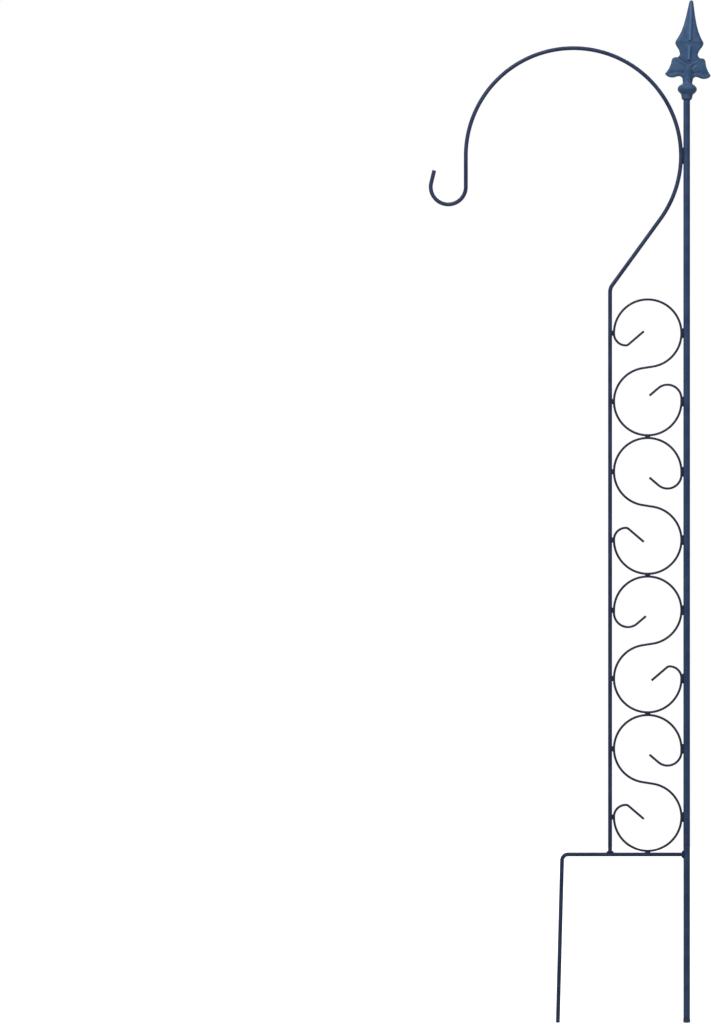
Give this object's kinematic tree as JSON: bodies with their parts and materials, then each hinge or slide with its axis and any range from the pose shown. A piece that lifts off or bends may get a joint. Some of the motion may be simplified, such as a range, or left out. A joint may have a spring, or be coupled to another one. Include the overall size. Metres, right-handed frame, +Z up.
{
  "type": "shepherds hook",
  "caption": "Welded garden hook: a tall post with a cast spear finial, an arched arm ending in a J, a scrolled trellis panel between post and rail, and a forked foot that pushes into soil.",
  "frame": {"origin": "on the post's axis at the ground line, which is the underside of the crossbar", "axes": "+Z up along the post; the flat frame lies in the XZ plane and the hook reaches towards -X; +Y is through the frame, and the picture looks along +Y"},
  "size_m": [0.4211, 0.0284, 1.5271],
  "materials": {
    "post_coat": "satin powder coat, slate blue",
    "finial_coat": "satin powder coat over a cast skin",
    "rod_coat": "satin powder coat, dark blue",
    "wire_coat": "satin powder coat, near black",
    "weld_coat": "powder coat over rough weld beads",
    "end_plug": "moulded, matt"
  },
  "bodies": {
    "root": {"post_tube": "post_coat", "post_end_plug": "end_plug", "spear_finial": "finial_coat", "hook_rod": "rod_coat", "ground_leg": "rod_coat", "scroll_1": "wire_coat", "scroll_2": "wire_coat", "scroll_3": "wire_coat", "scroll_4": "wire_coat", "scroll_1_rail_welds": "weld_coat", "scroll_1_post_welds": "weld_coat", "scroll_2_rail_welds": "weld_coat", "scroll_2_post_welds": "weld_coat", "scroll_3_rail_welds": "weld_coat", "scroll_3_post_welds": "weld_coat", "scroll_4_rail_welds": "weld_coat", "scroll_4_post_welds": "weld_coat", "scroll_1_to_2_weld": "weld_coat", "scroll_2_to_3_weld": "weld_coat", "scroll_3_to_4_weld": "weld_coat", "scroll_foot_weld": "weld_coat", "hook_post_weld": "weld_coat", "rail_foot_weld": "weld_coat", "crossbar_post_weld": "weld_coat"}
  },
  "joints": []
}
